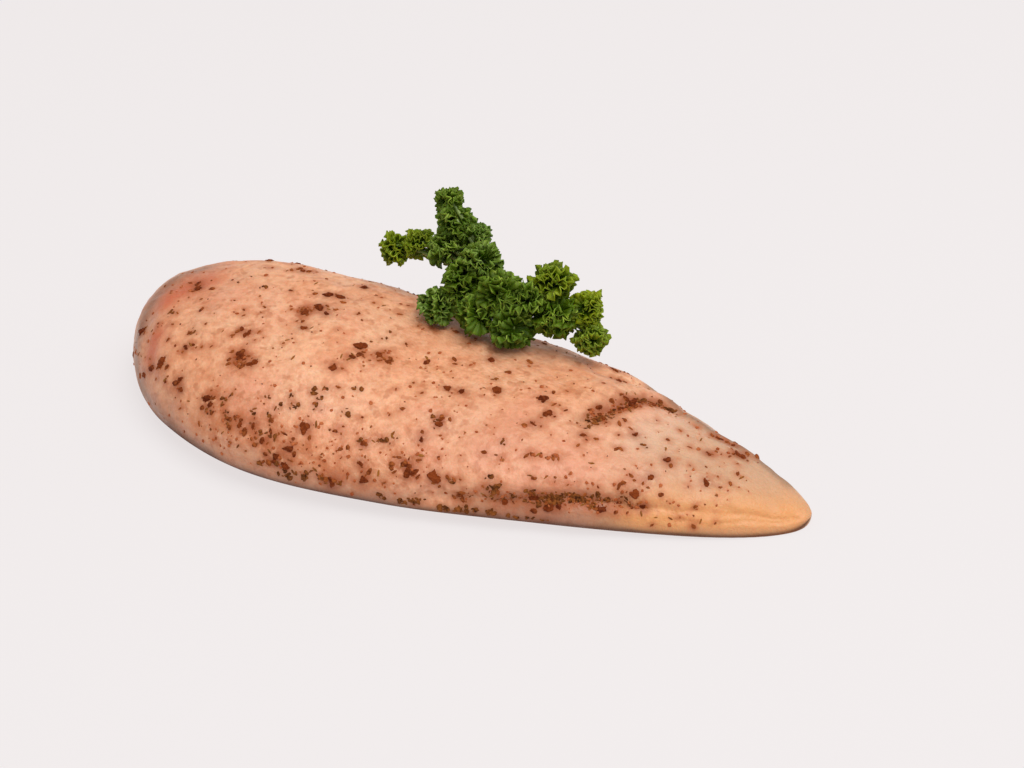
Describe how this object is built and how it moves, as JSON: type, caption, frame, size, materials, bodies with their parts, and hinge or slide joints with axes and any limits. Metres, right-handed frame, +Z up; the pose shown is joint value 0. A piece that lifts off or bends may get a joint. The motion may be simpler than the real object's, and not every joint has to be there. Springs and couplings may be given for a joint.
{
  "type": "raw chicken breast",
  "caption": "Raw boneless chicken breast half rubbed with dried herbs and pepper, topped with a sprig of curly parsley, lying flat.",
  "frame": {"origin": "on the flat underside, at the middle of the length, below the crest line", "axes": "+X along the length from the blunt shoulder end to the thin tip, +Y towards the steep breastbone edge, +Z up"},
  "size_m": [0.196, 0.0815, 0.0567],
  "materials": {
    "meat": "moist raw flesh with a thin wet sheen and dark herb flakes pressed into it",
    "leaf": "matt fresh green leaf, lighter along the ruffled edges"
  },
  "bodies": {
    "root": {"breast": "meat", "parsley": "leaf"}
  },
  "joints": []
}
